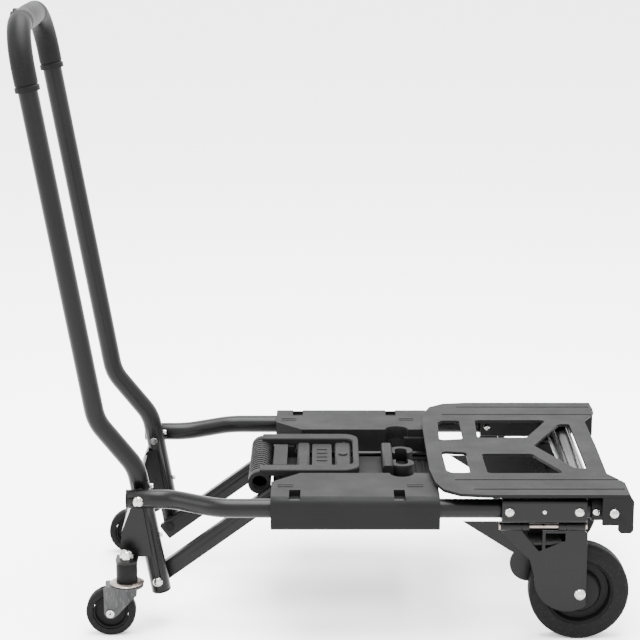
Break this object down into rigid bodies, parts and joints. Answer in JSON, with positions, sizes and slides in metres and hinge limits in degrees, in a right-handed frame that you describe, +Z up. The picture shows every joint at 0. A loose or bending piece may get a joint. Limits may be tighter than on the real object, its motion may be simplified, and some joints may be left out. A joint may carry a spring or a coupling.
{
  "type": "folding platform cart",
  "caption": "Platform cart that folds flat or turns into a hand truck, with a U handle on links, swivel casters, folding front wheels and a flip-out toe plate.",
  "frame": {"origin": "middle of the bounding box at floor level, with the cart standing on its wheels", "axes": "+Z up, +X from the handle towards the toe plate, +Y to the left side"},
  "size_m": [0.7844, 0.415, 0.7887],
  "materials": {
    "frame_paint": "satin",
    "housing_plastic": "matte",
    "grip_plastic": "matte",
    "bolt_steel": "polished",
    "zinc_steel": "satin",
    "fork_steel": "satin",
    "tyre_rubber": "matte",
    "hub_plastic": "satin"
  },
  "bodies": {
    "frame": {"rail_right": "frame_paint", "rail_left": "frame_paint", "rail_plugs": "grip_plastic", "housing_top_right": "housing_plastic", "housing_top_left": "housing_plastic", "housing_base_right": "housing_plastic", "housing_base_left": "housing_plastic", "housing_screws": "bolt_steel", "center_tray": "housing_plastic", "guide_rods": "frame_paint", "end_brackets": "housing_plastic", "wheel_sleeve_right": "frame_paint", "wheel_sleeve_left": "frame_paint", "sleeve_bolts": "bolt_steel", "pivot_bolts": "bolt_steel", "toe_bolts": "bolt_steel", "fold_pins": "zinc_steel"},
    "pivot_bushings": {"pivot_bushings": "grip_plastic"},
    "handle": {"handle_tube": "frame_paint", "handle_grip": "grip_plastic", "button_ring": "grip_plastic", "caster_bracket": "frame_paint", "leg_plugs": "grip_plastic", "link_bolts": "bolt_steel", "bracket_rivets": "bolt_steel", "caster_spacers": "grip_plastic", "caster_stems": "zinc_steel", "caster_nuts": "bolt_steel"},
    "grip_button": {"grip_button": "grip_plastic"},
    "link_bushings": {"link_bushings": "grip_plastic"},
    "links": {"link_bar_right": "frame_paint", "link_bar_left": "frame_paint", "link_pins": "zinc_steel"},
    "slide_shoes": {"slide_shoes": "housing_plastic"},
    "carriage": {"carriage": "housing_plastic", "carriage_cover": "housing_plastic", "carriage_hooks": "housing_plastic"},
    "lock_button": {"lock_button": "housing_plastic"},
    "release_handle": {"release_loop": "housing_plastic", "release_grip": "housing_plastic"},
    "toe_plate": {"toe_plate": "housing_plastic", "toe_bar": "frame_paint"},
    "caster_swivel_right": {"caster_fork_right": "fork_steel", "caster_axle_right": "bolt_steel"},
    "caster_wheel_right": {"caster_tyre_right": "tyre_rubber", "caster_hub_right": "hub_plastic"},
    "wheel_arm_right": {"wheel_bracket_right": "frame_paint", "wheel_gusset_right": "frame_paint", "wheel_axle_right": "bolt_steel"},
    "wheel_right": {"wheel_tyre_right": "tyre_rubber", "wheel_hub_right": "hub_plastic"},
    "caster_swivel_left": {"caster_fork_left": "fork_steel", "caster_axle_left": "bolt_steel"},
    "caster_wheel_left": {"caster_tyre_left": "tyre_rubber", "caster_hub_left": "hub_plastic"},
    "wheel_arm_left": {"wheel_bracket_left": "frame_paint", "wheel_gusset_left": "frame_paint", "wheel_axle_left": "bolt_steel"},
    "wheel_left": {"wheel_tyre_left": "tyre_rubber", "wheel_hub_left": "hub_plastic"}
  },
  "joints": [
    {"name": "handle_shift", "type": "hinge", "parent": "frame", "child": "pivot_bushings", "pos_m": [-0.22983, 0, 0.18], "axis": [0, -1, 0], "range_deg": [0, 78.6]},
    {"name": "handle_fold", "type": "hinge", "parent": "pivot_bushings", "child": "handle", "pos_m": [-0.22983, 0, 0.18], "axis": [0, 1, 0], "range_deg": [0, 98.5]},
    {"name": "link_shift", "type": "hinge", "parent": "handle", "child": "link_bushings", "pos_m": [-0.20922, 0, 0.061], "axis": [0, 1, 0], "range_deg": [0, 114.45]},
    {"name": "link_fold", "type": "hinge", "parent": "link_bushings", "child": "links", "pos_m": [-0.20922, 0, 0.061], "axis": [0, -1, 0], "range_deg": [0, 63.49]},
    {"name": "carriage_shift", "type": "slide", "parent": "frame", "child": "slide_shoes", "axis": [1, 0, 0], "range_m": [0, 0.13961]},
    {"name": "carriage_fold", "type": "slide", "parent": "slide_shoes", "child": "carriage", "axis": [-1, 0, 0], "range_m": [0, 0.10284]},
    {"name": "release_tilt", "type": "hinge", "parent": "carriage", "child": "release_handle", "pos_m": [0.03218, 0, 0.1905], "axis": [0, 1, 0], "range_deg": [0, 12], "stiffness_Nm_per_rad": 0.4},
    {"name": "lock_press", "type": "slide", "parent": "carriage", "child": "lock_button", "axis": [0, 0, -1], "range_m": [0, 0.003], "stiffness_N_per_m": 300},
    {"name": "grip_press", "type": "slide", "parent": "handle", "child": "grip_button", "axis": [1, 0, 0], "range_m": [0, 0.003], "stiffness_N_per_m": 300},
    {"name": "toe_fold", "type": "hinge", "parent": "frame", "child": "toe_plate", "pos_m": [0.36518, 0, 0.18], "axis": [0, 1, 0], "range_deg": [0, 90]},
    {"name": "caster_turn_right", "type": "hinge", "parent": "handle", "child": "caster_swivel_right", "pos_m": [-0.24682, -0.15, 0.066], "axis": [0, 0, 1], "range_deg": [-90, 180]},
    {"name": "caster_roll_right", "type": "hinge", "parent": "caster_swivel_right", "child": "caster_wheel_right", "pos_m": [-0.26782, -0.15, 0.0317], "axis": [0, 1, 0], "continuous": true},
    {"name": "wheel_fold_right", "type": "hinge", "parent": "frame", "child": "wheel_arm_right", "pos_m": [0.27218, -0.18, 0.156], "axis": [1, 0, 0], "range_deg": [0, 75.5]},
    {"name": "wheel_roll_right", "type": "hinge", "parent": "wheel_arm_right", "child": "wheel_right", "pos_m": [0.32867, -0.157, 0.0635], "axis": [0, 1, 0], "continuous": true},
    {"name": "caster_turn_left", "type": "hinge", "parent": "handle", "child": "caster_swivel_left", "pos_m": [-0.24682, 0.15, 0.066], "axis": [0, 0, 1], "range_deg": [-180, 90]},
    {"name": "caster_roll_left", "type": "hinge", "parent": "caster_swivel_left", "child": "caster_wheel_left", "pos_m": [-0.26782, 0.15, 0.0317], "axis": [0, 1, 0], "continuous": true},
    {"name": "wheel_fold_left", "type": "hinge", "parent": "frame", "child": "wheel_arm_left", "pos_m": [0.27218, 0.18, 0.156], "axis": [-1, 0, 0], "range_deg": [0, 75.5]},
    {"name": "wheel_roll_left", "type": "hinge", "parent": "wheel_arm_left", "child": "wheel_left", "pos_m": [0.32867, 0.157, 0.0635], "axis": [0, 1, 0], "continuous": true}
  ],
  "couplings": [
    {"joint": "link_shift", "follows": "handle_shift", "ratio": 1.4498},
    {"joint": "link_fold", "follows": "handle_fold", "ratio": 0.63951},
    {"joint": "carriage_shift", "follows": "handle_shift", "m_per_rad": 0.1014},
    {"joint": "carriage_fold", "follows": "handle_fold", "m_per_rad": 0.059532},
    {"joint": "wheel_fold_right", "follows": "toe_fold", "ratio": 0.83333},
    {"joint": "wheel_fold_left", "follows": "toe_fold", "ratio": 0.83333}
  ]
}
